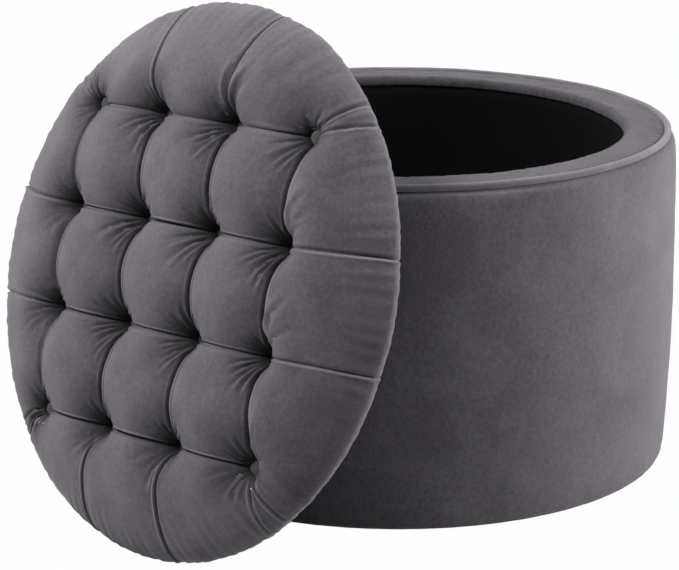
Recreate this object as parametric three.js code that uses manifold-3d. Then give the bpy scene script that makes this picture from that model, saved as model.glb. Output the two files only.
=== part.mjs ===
// Round ottoman with storage: an upholstered drum, open at the top, and its loose deep-buttoned lid.
// The lid stands on the floor beside the drum and leans on the drum's piped edge.
// Millimetres, +Z up. The origin is the middle of the whole set's footprint, on the floor.
import * as THREE from 'three';
import { mergeVertices } from 'three/addons/utils/BufferGeometryUtils.js';
import Module from 'manifold-3d';

// Drum: outside shape
const drumRadius = 320;            // velvet, at the fullest part of the wall
const footTuck = 7;                // how far the wall draws in at the hem
const shoulderTuck = 2;            // how far the wall draws in below the piping
const drumHeight = 382;            // floor to the flat of the rim
const glideHeight = 5;             // floor to the underside of the drum
const rimWidth = 59;               // fullest part of the wall to the mouth of the storage space
const pipingInset = 11.7;          // fullest part of the wall to the piping's centre line
const pipingRadius = 3.9;
const pipingDrop = 0.8;              // centre line of the piping, below the flat of the rim
// Drum: frame and padding
const wallPadding = 15;            // fullest part of the wall to the outer shell
const shellBoard = 3;              // bent hardboard
const baseBoard = 12;              // plywood
const rimBoard = 15;               // plywood
const rimFoam = 9.8;
const lipDepth = 10;               // velvet turned down into the mouth
const hemWidth = 28;               // velvet turned under the base
const dustClothInset = 15;         // hem's inner edge to the dust cloth's edge, which covers it
const postWidth = 40;
const postCount = 6;
// Drum: glides
const glideCount = 6;
const glideRadius = 12;
const glideSpace = 7;              // between a glide and the hem's inner edge
const nailRadius = 1.2;
const nailLength = 11;
// Lid: outside shape
const lidInset = 27;               // fullest part of the drum's wall to the widest part of the cushion
const lidTurnUnder = 12;           // widest part of the cushion to where the velvet turns under
const lidBulgeHeight = 22;
const lidHeight = 80;              // underside to the crown of the cushion
const lidBoardInset = 5;           // where the velvet turns under to the board's edge
const lidBoard = 12;               // plywood
const lidDustPlay = 5;             // between the lid's dust cloth and the drum's mouth
const lidWrapLap = 10;             // velvet turned under the board, inside the dust cloth's edge
// Lid: buttons
const buttonRows = 4;
const buttonMargin = 56;           // widest part of the cushion to a corner button's middle
const buttonSeat = 32;             // underside to the velvet under each button
const buttonRadius = 10;
const buttonThickness = 6;
const tuftTwist = 3.1;             // degrees, the button grid against the lean
const wellSpread = 0.5;            // how far a well opens for each unit of height
const twineRadius = 1.2;
const toggleRadius = 4.5;
// Lid: locating blocks
const blockPlay = 11;              // between a block and the drum's mouth
const blockLength = 40;
const blockWidth = 24;
const blockThickness = 16;
const screwRadius = 2;
const screwHeadRadius = 4;
const screwLength = 25;
const screwSpread = 22;            // between the two screws of a block
// Lid: place beside the drum
const leanAngle = 16.95;           // degrees from upright
const leanHeading = 223.5;         // degrees from +X, the way the cushion faces
const leanOffset = 74.3;           // lid's middle, sideways from the drum's axis
// Cloth and clearances
const velvet = 1.6;
const liningCloth = 1.3;
const dustCloth = 0.8;
const gap = 0.3;                   // between pieces that touch
const holeClearance = 0.5;         // round twine, nails and screws, on the radius
// Roundness of the turned pieces
const roundSides = 40;
const smallSides = 8;
const holeSides = 6;

const velvetGrey = { color: '#6f6a71', roughness: 0.85, metalness: 0 };
const blackCloth = { color: '#141315', roughness: 0.95, metalness: 0 };
const plywood = { color: '#c7a678', roughness: 0.65, metalness: 0 };
const hardboard = { color: '#7d5a3c', roughness: 0.7, metalness: 0 };
const pine = { color: '#d8bb8a', roughness: 0.65, metalness: 0 };
const foam = { color: '#e9e2c9', roughness: 0.9, metalness: 0 };
const blackPlastic = { color: '#1b1b1c', roughness: 0.45, metalness: 0 };
const zincSteel = { color: '#b9bbbd', roughness: 0.35, metalness: 1 };

const wasm = await Module();
wasm.setup();

const radians = THREE.MathUtils.degToRad;

// A geometry with shared vertices only at distinct places, and no collapsed triangles.
function welded(geometry) {
  geometry.deleteAttribute('normal');
  geometry.deleteAttribute('uv');
  const merged = mergeVertices(geometry, 1e-4);
  const corners = Array.from(merged.getIndex().array);
  const kept = [];
  for (let i = 0; i < corners.length; i += 3) {
    const [a, b, c] = corners.slice(i, i + 3);
    if (a !== b && b !== c && c !== a) kept.push(a, b, c);
  }
  merged.setIndex(kept);
  return merged;
}

function toSolid(geometry) {
  const vertProperties = new Float32Array(geometry.getAttribute('position').array);
  const triVerts = new Uint32Array(geometry.getIndex().array);
  return new wasm.Manifold(new wasm.Mesh({ numProp: 3, vertProperties, triVerts }));
}

function toGeometry(solid) {
  const mesh = solid.getMesh();
  const geometry = new THREE.BufferGeometry();
  geometry.setAttribute('position', new THREE.BufferAttribute(mesh.vertProperties, 3));
  geometry.setIndex(new THREE.BufferAttribute(mesh.triVerts, 1));
  return geometry;
}

// A body turned about Z from [radius, height] points that start and end on the axis.
function turned(points, sides = roundSides) {
  const outline = points.map(([r, z]) => new THREE.Vector2(r, z));
  if (THREE.ShapeUtils.area(outline) < 0) outline.reverse();
  return welded(new THREE.LatheGeometry(outline, sides).rotateX(Math.PI / 2));
}

// A ring turned about Z from the corners of its section.
function ring(points) {
  return turned([...points, points[0]]);
}

function flatRing(innerRadius, outerRadius, bottom, top) {
  return ring([[innerRadius, bottom], [outerRadius, bottom], [outerRadius, top], [innerRadius, top]]);
}

function disc(radius, bottom, top, sides = roundSides) {
  return turned([[0, bottom], [radius, bottom], [radius, top], [0, top]], sides);
}

// Points moved to the left of the way they run, which is inwards on a section drawn upwards.
function inset(points, distance) {
  return points.map(([r, z], i) => {
    const [r0, z0] = points[Math.max(i - 1, 0)];
    const [r1, z1] = points[Math.min(i + 1, points.length - 1)];
    const length = Math.hypot(r1 - r0, z1 - z0);
    return [r - distance * (z1 - z0) / length, z + distance * (r1 - r0) / length];
  });
}

// A closed section of cloth that lies inside the given line.
function clothSection(points, thickness) {
  return [...points, ...inset(points, thickness).reverse()];
}

function smoothLine(points, steps) {
  const curve = new THREE.SplineCurve(points.map(([r, z]) => new THREE.Vector2(r, z)));
  return curve.getPoints(steps).map((p) => [p.x, p.y]);
}

function around(count, radius, firstAngle = 0) {
  return Array.from({ length: count }, (_, i) => {
    const angle = firstAngle + i * 2 * Math.PI / count;
    return { x: radius * Math.cos(angle), y: radius * Math.sin(angle), angle };
  });
}

function drilled(geometry, places, radius, bottom, top) {
  let solid = toSolid(geometry);
  for (const { x, y } of places) {
    const hole = disc(radius, bottom, top, holeSides).translate(x, y, 0);
    solid = solid.subtract(toSolid(hole));
  }
  return toGeometry(solid);
}

function piece(name, geometry, finish) {
  geometry.computeVertexNormals();
  const mesh = new THREE.Mesh(geometry, new THREE.MeshStandardMaterial(finish));
  mesh.name = name;
  return mesh;
}

// Radii that the drum and the lid are built to
const footRadius = drumRadius - footTuck;
const shoulderRadius = drumRadius - shoulderTuck;
const openingRadius = drumRadius - rimWidth;
const pipingRingRadius = drumRadius - pipingInset;
const outerShellRadius = drumRadius - wallPadding;
const lidBulgeRadius = drumRadius - lidInset;
const lidEdgeRadius = lidBulgeRadius - lidTurnUnder;
const lidBoardRadius = lidEdgeRadius - lidBoardInset;
// Heights in the drum, from the floor up
const hemBottom = glideHeight + dustCloth + gap;
const baseBottom = hemBottom + velvet + gap;
const baseTop = baseBottom + baseBoard;
const liningFloor = baseTop + gap + liningCloth;
const rimFoamTop = drumHeight - velvet - gap;
const rimFoamBottom = rimFoamTop - rimFoam;
const rimBoardTop = rimFoamBottom - gap;
const rimBoardBottom = rimBoardTop - rimBoard;
const pipingHeight = drumHeight - pipingDrop;
// Radii in the drum, from the mouth outwards
const innerShellFace = openingRadius + velvet + gap;
const wallLiningFace = innerShellFace - gap - liningCloth;
const innerShellBack = innerShellFace + shellBoard;
const frameInnerRadius = innerShellBack + gap;
const outerShellFace = outerShellRadius - shellBoard;
const frameOuterRadius = outerShellFace - gap;
const rimEdgeRadius = pipingRingRadius - pipingRadius - gap;

const hemInnerRadius = footRadius - hemWidth;
const glides = around(glideCount, hemInnerRadius - glideSpace - glideRadius, Math.PI / glideCount);

// The hem's underside, from its inner edge out to its corner.
const hemLine = [[hemInnerRadius, hemBottom], [footRadius - 4, hemBottom]];

// The velvet wall's outer line, from the hem's corner up to the underside of the piping.
function wallLine() {
  const top = pipingHeight - pipingRadius - gap;
  const rise = top - baseBottom;
  return smoothLine([
    [footRadius - 1, baseBottom + 2],
    [footRadius + 2, baseBottom + 0.08 * rise],
    [drumRadius, baseBottom + 0.4 * rise],
    [drumRadius - 0.5, baseBottom + 0.75 * rise],
    [shoulderRadius, top - 0.08 * rise],
    [shoulderRadius - 3, top - 6],
    [pipingRingRadius, top],
  ], 8);
}

function sideCover() {
  return ring(clothSection([...hemLine, ...wallLine()], velvet));
}

function sideFoam() {
  const outside = inset([...hemLine, ...wallLine()], velvet + gap).slice(hemLine.length);
  const inside = outerShellRadius + gap;
  const bottom = outside[0][1];
  const top = outside[outside.length - 1][1];
  return ring([[inside, bottom], ...outside, [inside, top]]);
}

// Flat on top, with a soft corner at the mouth and a lip that turns down inside it.
function rimCover() {
  const corner = 3;
  const lip = [[rimEdgeRadius, drumHeight], [openingRadius + corner, drumHeight]];
  for (const turn of [45, 90]) {
    const r = openingRadius + corner - corner * Math.sin(radians(turn));
    lip.push([r, drumHeight - corner + corner * Math.cos(radians(turn))]);
  }
  lip.push([openingRadius, drumHeight - lipDepth]);
  return ring(clothSection(lip, velvet));
}

function rimPad() {
  const slope = 3;
  return ring([
    [innerShellFace, rimFoamBottom],
    [frameOuterRadius, rimFoamBottom],
    [rimEdgeRadius, rimFoamTop],
    [innerShellFace + slope, rimFoamTop],
    [innerShellFace, rimFoamTop - slope],
  ]);
}

// A post fills the space between the shells, so its outer corners touch the flats of the outer shell.
function post(angle) {
  const shellFlat = outerShellFace * Math.cos(Math.PI / roundSides);
  const depth = Math.sqrt(shellFlat ** 2 - (postWidth / 2) ** 2) - gap - frameInnerRadius;
  const height = rimBoardBottom - baseTop - 2 * gap;
  const box = new THREE.BoxGeometry(depth, postWidth, height);
  return box.translate(frameInnerRadius + depth / 2, 0, baseTop + gap + height / 2).rotateZ(angle);
}

// A moulded glide with its nail, which goes through the dust cloth into the base.
function glide({ x, y }) {
  const top = glideHeight - gap;
  const section = [
    [0, 0],
    [glideRadius - 2, 0],
    [glideRadius, top / 2],
    [glideRadius, top],
    [nailRadius, top],
    [nailRadius, top + nailLength],
    [0, top + nailLength],
  ];
  return turned(section, smallSides + 4).translate(x, y, 0);
}

function drum() {
  const group = new THREE.Group();
  const nailHole = nailRadius + holeClearance;
  const dustDisc = disc(hemInnerRadius + dustClothInset, glideHeight, glideHeight + dustCloth);
  const baseDisc = disc(frameOuterRadius, baseBottom, baseTop);
  const nailTop = glideHeight + nailLength + gap;
  const wallTop = drumHeight - lipDepth - gap;
  const piping = new THREE.TorusGeometry(pipingRingRadius, pipingRadius, smallSides, roundSides);
  group.add(
    piece('base_dust_cloth', drilled(dustDisc, glides, nailHole, 0, nailTop), blackCloth),
    piece('base_board', drilled(baseDisc, glides, nailHole, 0, nailTop), plywood),
    piece('outer_shell', flatRing(outerShellFace, outerShellRadius, baseBottom, rimBoardTop), hardboard),
    piece('inner_shell', flatRing(innerShellFace, innerShellBack, baseTop + gap, rimBoardTop), hardboard),
    piece('rim_board', flatRing(frameInnerRadius, frameOuterRadius, rimBoardBottom, rimBoardTop), plywood),
    piece('side_foam', sideFoam(), foam),
    piece('rim_foam', rimPad(), foam),
    piece('side_cover', sideCover(), velvetGrey),
    piece('rim_cover', rimCover(), velvetGrey),
    piece('rim_piping', welded(piping).translate(0, 0, pipingHeight), velvetGrey),
    piece('floor_lining', disc(wallLiningFace - gap, baseTop + gap, liningFloor), blackCloth),
    piece('wall_lining', flatRing(
      wallLiningFace, innerShellFace - gap, baseTop + gap, wallTop), blackCloth),
  );
  around(postCount, 1).forEach(({ angle }, i) => {
    group.add(piece(`post_${i + 1}`, post(angle), pine));
  });
  glides.forEach((place, i) => {
    group.add(piece(`glide_${i + 1}`, glide(place), blackPlastic));
  });
  return group;
}

// Heights in the lid, from its seating face (0) up or down along its own axis
const lidBoardBottom = velvet + gap;
const lidBoardTop = lidBoardBottom + lidBoard;
const lidDustBottom = -gap - dustCloth;
const blockTop = lidDustBottom - gap;
const lidDustRadius = openingRadius - lidDustPlay;
const blockRingRadius = openingRadius - blockPlay - blockWidth / 2;

// Places of the buttons, in rows of the twisted square grid.
function buttonPlaces() {
  const middle = (buttonRows - 1) / 2;
  const buttonPitch = (lidBulgeRadius - buttonMargin) / (Math.SQRT2 * middle);
  const places = [];
  for (let row = 0; row < buttonRows; row += 1) {
    for (let column = 0; column < buttonRows; column += 1) {
      const place = new THREE.Vector2((column - middle) * buttonPitch, (middle - row) * buttonPitch);
      place.rotateAround(new THREE.Vector2(), radians(tuftTwist));
      places.push({ x: place.x, y: place.y, name: `button_${row + 1}_${column + 1}` });
    }
  }
  return places;
}

const buttons = buttonPlaces();

// The cushion's outer line, from the seating face out to the bulge and over the crown to the axis.
function cushionLine() {
  const line = [];
  for (const turn of [0, 45]) {
    const t = radians(turn);
    const r = lidEdgeRadius + (lidBulgeRadius - lidEdgeRadius) * Math.sin(t);
    line.push([r, lidBulgeHeight * (1 - Math.cos(t))]);
  }
  for (const turn of [0, 18, 36, 54, 72, 90]) {
    const t = radians(turn);
    line.push([lidBulgeRadius * Math.cos(t), lidBulgeHeight + (lidHeight - lidBulgeHeight) * Math.sin(t)]);
  }
  return line;
}

// The cushion's solid, drawn in by a distance all round, with a well at each button.
function cushionSolid(distance, bottom) {
  const line = inset(cushionLine(), distance);
  line[0][1] = bottom;
  line[line.length - 1][0] = 0;
  let solid = toSolid(turned([[0, bottom], ...line]));
  const wellBottom = buttonSeat - distance;
  const wellTop = lidHeight + 1;
  for (const { x, y } of buttons) {
    const bottomRadius = buttonRadius + 2 + distance;
    const topRadius = bottomRadius + wellSpread * (wellTop - wellBottom);
    const section = [[0, wellBottom], [bottomRadius, wellBottom], [topRadius, wellTop], [0, wellTop]];
    const well = turned(section, holeSides).translate(x, y, 0);
    solid = solid.subtract(toSolid(well));
  }
  return solid;
}

function lidCover() {
  const shell = cushionSolid(0, 0)
    .subtract(cushionSolid(velvet, velvet))
    .subtract(toSolid(disc(lidDustRadius - lidWrapLap, -1, velvet + 1)));
  return drilled(toGeometry(shell), buttons, twineRadius + holeClearance, velvet, lidHeight);
}

function lidFoam() {
  const pocket = toSolid(disc(lidBoardRadius + gap, 0, lidBoardTop + gap));
  const pad = cushionSolid(velvet + gap, velvet + gap).subtract(pocket);
  return drilled(toGeometry(pad), buttons, twineRadius + holeClearance, 0, lidHeight);
}

// A covered button with its twine down through the lid and the toggle that holds it under the board.
function button({ x, y }) {
  const seat = buttonSeat + gap;
  const toggleTop = lidBoardBottom - gap;
  const section = [
    [0, 0],
    [toggleRadius, 0],
    [toggleRadius, toggleTop],
    [twineRadius, toggleTop],
    [twineRadius, seat],
    [buttonRadius - 1, seat],
    [buttonRadius, seat + 0.35 * buttonThickness],
    [0.6 * buttonRadius, seat + 0.85 * buttonThickness],
    [0, seat + buttonThickness],
  ];
  return turned(section, smallSides).translate(x, y, 0);
}

const blocks = around(4, blockRingRadius);

// The two screw places of a locating block, along its length.
function screwPlaces({ x, y, angle }) {
  return [-0.5, 0.5].map((side) => ({
    x: x - side * screwSpread * Math.sin(angle),
    y: y + side * screwSpread * Math.cos(angle),
  }));
}

function block(place) {
  const box = new THREE.BoxGeometry(blockWidth, blockLength, blockThickness);
  const middle = blockTop - blockThickness / 2;
  const placed = box.rotateZ(place.angle).translate(place.x, place.y, middle);
  const bottom = middle - blockThickness;
  const holes = drilled(welded(placed), screwPlaces(place), screwRadius + holeClearance, bottom, 0);
  const seatDepth = screwHeadRadius - screwRadius + 1;
  const headHole = screwHeadRadius + holeClearance;
  return drilled(holes, screwPlaces(place), headHole, bottom, blockTop - blockThickness + seatDepth);
}

// A countersunk screw whose head lies in the block's underside and whose point is in the board.
function screw({ x, y }) {
  const headBottom = blockTop - blockThickness + gap;
  const section = [
    [0, headBottom],
    [screwHeadRadius, headBottom],
    [screwRadius, headBottom + screwHeadRadius - screwRadius],
    [screwRadius, headBottom + screwLength - 4],
    [0, headBottom + screwLength],
  ];
  return turned(section, holeSides).translate(x, y, 0);
}

// The lid in its own frame: seating face at height 0, cushion upwards.
function lid() {
  const group = new THREE.Group();
  const screws = blocks.flatMap(screwPlaces);
  const screwHole = screwRadius + holeClearance;
  const boardDisc = disc(lidBoardRadius, lidBoardBottom, lidBoardTop);
  const twineBoard = drilled(boardDisc, buttons, 2 * twineRadius + holeClearance, 0, lidBoardTop + 1);
  const screwReach = blockTop - blockThickness + screwLength + 2 * gap;
  const dustDisc = disc(lidDustRadius, lidDustBottom, -gap);
  group.add(
    piece('lid_board', drilled(twineBoard, screws, screwHole, 0, screwReach), plywood),
    piece('lid_dust_cloth', drilled(dustDisc, screws, screwHole, blockTop, 1), blackCloth),
    piece('lid_foam', lidFoam(), foam),
    piece('lid_cover', lidCover(), velvetGrey),
  );
  for (const place of buttons) group.add(piece(place.name, button(place), velvetGrey));
  blocks.forEach((place, i) => {
    group.add(piece(`locating_block_${i + 1}`, block(place), pine));
  });
  screws.forEach((place, i) => {
    group.add(piece(`block_screw_${i + 1}`, screw(place), zincSteel));
  });
  return group;
}

// Stands the lid's lowest point on the floor and its dust cloth against the drum's piping.
function leanLid(group) {
  const lean = radians(leanAngle);
  const heading = radians(leanHeading);
  const sideways = new THREE.Vector3(-Math.sin(heading), Math.cos(heading), 0);
  const outwards = new THREE.Vector3(Math.cos(heading), Math.sin(heading), 0);
  const upright = new THREE.Vector3(0, 0, 1);
  const facing = outwards.clone().multiplyScalar(Math.cos(lean)).addScaledVector(upright, Math.sin(lean));
  const upLid = upright.clone().multiplyScalar(Math.cos(lean)).addScaledVector(outwards, -Math.sin(lean));
  const drops = cushionLine().map(([r, z]) => r * Math.cos(lean) - z * Math.sin(lean));
  const middleHeight = Math.max(...drops);
  const pipingReach = pipingRingRadius * Math.cos(lean) + pipingHeight * Math.sin(lean) + pipingRadius;
  const seatReach = pipingReach + gap - lidDustBottom;
  const middleReach = (seatReach - middleHeight * Math.sin(lean)) / Math.cos(lean);
  const middle = outwards.multiplyScalar(middleReach).addScaledVector(sideways, leanOffset);
  middle.z = middleHeight;
  const place = new THREE.Matrix4().makeBasis(sideways, upLid, facing).setPosition(middle);
  group.applyMatrix4(place);
  return group;
}

const ottoman = new THREE.Group();
ottoman.name = 'ottoman_with_storage';
ottoman.add(drum(), leanLid(lid()));
ottoman.updateMatrixWorld(true);
const footprint = new THREE.Box3().setFromObject(ottoman, true).getCenter(new THREE.Vector3());
ottoman.position.set(-footprint.x, -footprint.y, 0);

export default ottoman;
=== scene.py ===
"""Storage ottoman: a velvet drum with a loose, deep-buttoned cushion for its lid."""
import math
import random

import bpy
import numpy as np
from mathutils import Matrix, Vector, noise


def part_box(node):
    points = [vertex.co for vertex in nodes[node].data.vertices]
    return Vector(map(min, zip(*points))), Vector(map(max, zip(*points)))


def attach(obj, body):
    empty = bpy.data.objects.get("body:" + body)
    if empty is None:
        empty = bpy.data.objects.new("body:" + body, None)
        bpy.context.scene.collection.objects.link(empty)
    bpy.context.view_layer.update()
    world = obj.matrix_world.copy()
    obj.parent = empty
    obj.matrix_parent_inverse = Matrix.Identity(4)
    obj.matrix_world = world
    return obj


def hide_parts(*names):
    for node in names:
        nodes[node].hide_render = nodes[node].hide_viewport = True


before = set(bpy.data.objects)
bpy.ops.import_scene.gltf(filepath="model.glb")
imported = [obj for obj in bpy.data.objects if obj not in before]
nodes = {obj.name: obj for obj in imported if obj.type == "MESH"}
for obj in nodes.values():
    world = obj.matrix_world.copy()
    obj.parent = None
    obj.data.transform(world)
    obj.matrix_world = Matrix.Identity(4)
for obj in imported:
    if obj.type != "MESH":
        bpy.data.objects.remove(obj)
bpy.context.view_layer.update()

# ---- Camera ---------------------------------------------------------------
# A long lens in front of the drum, about a metre up and looking a little down.
piping_low, piping_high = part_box("rim_piping")
drum_axis = (piping_low + piping_high) / 2
camera_distance, camera_height = 3.1386, 1.0749
look_down, look_left = math.radians(15.74), math.radians(1.16)
camera_data = bpy.data.cameras.new("camera")
camera_data.lens = 149.5
camera_data.sensor_width = 36
camera_data.clip_end = 50
camera = bpy.data.objects.new("camera", camera_data)
bpy.context.collection.objects.link(camera)
camera.location = (drum_axis.x, drum_axis.y - camera_distance, camera_height)
camera.rotation_euler = (math.radians(90) - look_down, 0, look_left)
bpy.context.scene.camera = camera

# ---- Drum, timber frame ---------------------------------------------------
# A plywood base and rim ring on six pine posts, hidden under the upholstery.
# The grain is drawn in rings that are stretched along the board.


def new_group(name, inputs, outputs):
    """An empty shader node group with named sockets, each given as (name, kind, value)."""
    group = bpy.data.node_groups.new(name, "ShaderNodeTree")
    for socket, kind, value in inputs:
        item = group.interface.new_socket(socket, in_out="INPUT", socket_type=kind)
        item.default_value = value
    for socket, kind in outputs:
        group.interface.new_socket(socket, in_out="OUTPUT", socket_type=kind)
    return group, group.nodes.new("NodeGroupInput"), group.nodes.new("NodeGroupOutput")


def add_node(tree, kind, links=(), **settings):
    """Adds a node, sets its properties and joins or sets its inputs by name or number."""
    node = tree.nodes.new(kind)
    for key, value in settings.items():
        setattr(node, key, value)
    for socket, value in links:
        if isinstance(value, bpy.types.NodeSocket):
            tree.links.new(value, node.inputs[socket])
        else:
            node.inputs[socket].default_value = value
    return node


def maths(tree, operation, *values, clamp=False):
    """The result of a maths node on two or three numbers or sockets."""
    node = add_node(tree, "ShaderNodeMath", enumerate(values), operation=operation, use_clamp=clamp)
    return node.outputs[0]


def ramp(tree, factor, stops):
    """A colour ramp from (position, colour) stops."""
    node = add_node(tree, "ShaderNodeValToRGB", [("Fac", factor)])
    elements = node.color_ramp.elements
    while len(elements) < len(stops):
        elements.new(0.5)
    for element, (position, colour) in zip(elements, stops):
        element.position = position
        element.color = (*colour, 1)
    return node.outputs["Color"]


def cloud(tree, place, scale, detail):
    """A noise texture at a place; its scale is in blotches per metre."""
    return add_node(tree, "ShaderNodeTexNoise", [("Vector", place), ("Scale", scale), ("Detail", detail)])


def tint(tree, shader, factor, stops):
    """Colours the surface from (position, colour) stops."""
    tree.links.new(ramp(tree, factor, stops), shader.inputs["Base Color"])


def raise_surface(tree, shader, height, strength, distance):
    """Gives the surface a fine relief from a height."""
    bump = add_node(
        tree, "ShaderNodeBump", [("Height", height), ("Strength", strength), ("Distance", distance)]
    )
    tree.links.new(bump.outputs["Normal"], shader.inputs["Normal"])


def new_material(name):
    """A material with its Principled shader and the piece's own coordinates."""
    material = bpy.data.materials.new(name)
    material.use_nodes = True
    tree = material.node_tree
    shader = tree.nodes["Principled BSDF"]
    place = add_node(tree, "ShaderNodeTexCoord").outputs["Object"]
    return material, tree, shader, place


grain, grain_in, grain_out = new_group(
    "wood_grain",
    [
        ("Place", "NodeSocketVector", (0, 0, 0)),
        ("Rings", "NodeSocketFloat", 60.0),
        ("Waviness", "NodeSocketFloat", 2.0),
    ],
    [("Ring", "NodeSocketFloat"), ("Fibre", "NodeSocketFloat")],
)
rings = add_node(
    grain,
    "ShaderNodeTexWave",
    [
        ("Vector", grain_in.outputs["Place"]),
        ("Scale", grain_in.outputs["Rings"]),
        ("Distortion", grain_in.outputs["Waviness"]),
        ("Detail", 3.0),
    ],
)
fibre_place = add_node(
    grain, "ShaderNodeVectorMath", [(0, grain_in.outputs["Place"]), (1, (900, 40, 60))], operation="MULTIPLY"
)
fibre = cloud(grain, fibre_place.outputs[0], 1.0, 3.0)
grain.links.new(rings.outputs["Fac"], grain_out.inputs["Ring"])
grain.links.new(fibre.outputs["Fac"], grain_out.inputs["Fibre"])


def wood(name, early, late, rings_per_metre, waviness, roughness):
    """A bare timber whose colour runs from early wood to late wood."""
    material, tree, shader, place = new_material(name)
    figure = add_node(tree, "ShaderNodeGroup", node_tree=grain)
    tree.links.new(place, figure.inputs["Place"])
    figure.inputs["Rings"].default_value = rings_per_metre
    figure.inputs["Waviness"].default_value = waviness
    streaks = maths(tree, "MULTIPLY", figure.outputs["Ring"], figure.outputs["Fibre"])
    tint(tree, shader, streaks, [(0.1, early), (0.6, late)])
    shader.inputs["Roughness"].default_value = roughness
    raise_surface(tree, shader, figure.outputs["Fibre"], 0.25, 0.0004)
    return material


def refinish(node, material):
    """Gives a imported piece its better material."""
    mesh = nodes[node].data
    if not mesh.materials:
        mesh.materials.append(material)
    for place in range(len(mesh.materials)):
        mesh.materials[place] = material


plywood = wood("plywood", (0.62, 0.45, 0.26), (0.42, 0.27, 0.13), 26, 5, 0.72)
pine = wood("pine", (0.70, 0.53, 0.30), (0.50, 0.33, 0.15), 45, 3, 0.68)
for board in ("base_board", "rim_board", "lid_board"):
    refinish(board, plywood)
for number in range(1, 7):
    refinish(f"post_{number}", pine)
for number in range(1, 5):
    refinish(f"locating_block_{number}", pine)

# ---- Drum, shells ---------------------------------------------------------
# Two bent hardboard skins, one inside the posts and one outside them.
# Hardboard is pressed fibre: smooth, dark brown, with a fine fleck.
hardboard, tree, shader, place = new_material("hardboard")
fleck = cloud(tree, place, 700.0, 4.0)
tint(tree, shader, fleck.outputs["Fac"], [(0.3, (0.13, 0.07, 0.035)), (0.7, (0.26, 0.15, 0.08))])
shader.inputs["Roughness"].default_value = 0.6
for shell in ("outer_shell", "inner_shell"):
    refinish(shell, hardboard)

# ---- Glides and screws ----------------------------------------------------
# Black moulded glides nailed under the drum, and plated countersunk screws
# that hold the lid's four locating blocks.
black_plastic, tree, shader, place = new_material("black_plastic")
scuff = cloud(tree, place, 260.0, 5.0)
tint(tree, shader, scuff.outputs["Fac"], [(0.35, (0.010, 0.010, 0.011)), (0.8, (0.035, 0.035, 0.036))])
roughness = add_node(
    tree, "ShaderNodeMapRange", [("Value", scuff.outputs["Fac"]), ("To Min", 0.35), ("To Max", 0.6)]
)
tree.links.new(roughness.outputs["Result"], shader.inputs["Roughness"])
for number in range(1, 7):
    refinish(f"glide_{number}", black_plastic)

zinc_steel, tree, shader, place = new_material("zinc_steel")
spangle = add_node(tree, "ShaderNodeTexVoronoi", [("Vector", place), ("Scale", 900.0)])
tint(tree, shader, spangle.outputs["Distance"], [(0.0, (0.66, 0.67, 0.69)), (0.7, (0.50, 0.51, 0.54))])
shader.inputs["Metallic"].default_value = 1.0
shader.inputs["Roughness"].default_value = 0.32
for number in range(1, 9):
    refinish(f"block_screw_{number}", zinc_steel)

# ---- Drum, foam -----------------------------------------------------------
# Sheet foam glued round the outer shell and on the rim ring under the velvet.
# Cut foam is cream, with open cells; its faces swell a little between glue lines.


def solid_mesh(name, points, faces, body, slot, material):
    """Makes a smooth-shaded mesh piece that rides on a body."""
    mesh = bpy.data.meshes.new(name)
    mesh.from_pydata([tuple(p) for p in points], [], faces)
    mesh.polygons.foreach_set("use_smooth", [True] * len(mesh.polygons))
    mesh.materials.append(material)
    mesh.validate()
    piece = bpy.data.objects.new(name, mesh)
    bpy.context.collection.objects.link(piece)
    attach(piece, body)
    return piece


def spline(a, b, c, d, part):
    """The smooth curve from b to c, part of the way, with a before them and d after."""
    bend = (2 * a - 5 * b + 4 * c - d) * part**2
    return 0.5 * (2 * b + (c - a) * part + bend + (3 * b - a - 3 * c + d) * part**3)


def smooth_line(points, steps):
    """A smooth curve through (radius, height) points, ends kept."""
    rough = [np.array(p, float) for p in points]
    rough = [2 * rough[0] - rough[1], *rough, 2 * rough[-1] - rough[-2]]
    line = []
    for neighbours in zip(rough, rough[1:], rough[2:], rough[3:]):
        line += [spline(*neighbours, part) for part in np.arange(steps) / steps]
    return [*line, rough[-2]]


def turned(section, segments, shape=None):
    """Points and faces of a closed (radius, height) section turned round the drum's axis.
    shape bends the radius and height as functions of the angle."""
    radius, angle = np.meshgrid([p[0] for p in section], np.arange(segments) * 2 * math.pi / segments)
    height = np.tile([p[1] for p in section], (segments, 1))
    if shape:
        radius, height = shape(radius, height, angle)
    points = np.stack(
        [drum_axis.x + radius * np.cos(angle), drum_axis.y + radius * np.sin(angle), height], -1
    ).reshape(-1, 3)
    count = len(section)
    faces = []
    for i in range(segments):
        here, there = i * count, (i + 1) % segments * count
        for j in range(count):
            k = (j + 1) % count
            faces.append((here + j, there + j, there + k, here + k))
    return points, faces


def ripples(angle, seed, counts, strength):
    """A closed wavy line round the drum: the sum of a few seeded waves."""
    chance = random.Random(seed)
    total = np.zeros_like(angle)
    for count in counts:
        total += chance.uniform(0.5, 1) * np.sin(count * angle + chance.uniform(0, 2 * math.pi))
    return strength * total / len(counts)


foam, tree, shader, place = new_material("foam")
cells = add_node(tree, "ShaderNodeTexVoronoi", [("Vector", place), ("Scale", 1100.0)])
tint(tree, shader, cells.outputs["Distance"], [(0.0, (0.62, 0.56, 0.42)), (0.5, (0.84, 0.79, 0.64))])
shader.inputs["Roughness"].default_value = 0.95
raise_surface(tree, shader, cells.outputs["Distance"], 0.5, 0.0006)

hem_radius = 0.285
hem_height, wall_foot = 0.0061, 0.0082
wall_top = piping_low.z - 0.0003
cloth = 0.0016
cloth_gap = 0.0003
wall_line = smooth_line(
    [
        (0.3120, wall_foot + 0.0018),
        (0.3150, 0.0370),
        (0.3200, 0.1530),
        (0.3197, 0.2850),
        (0.3186, 0.3470),
        (0.3162, 0.3700),
        (0.3083, wall_top),
    ],
    9,
)


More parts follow.
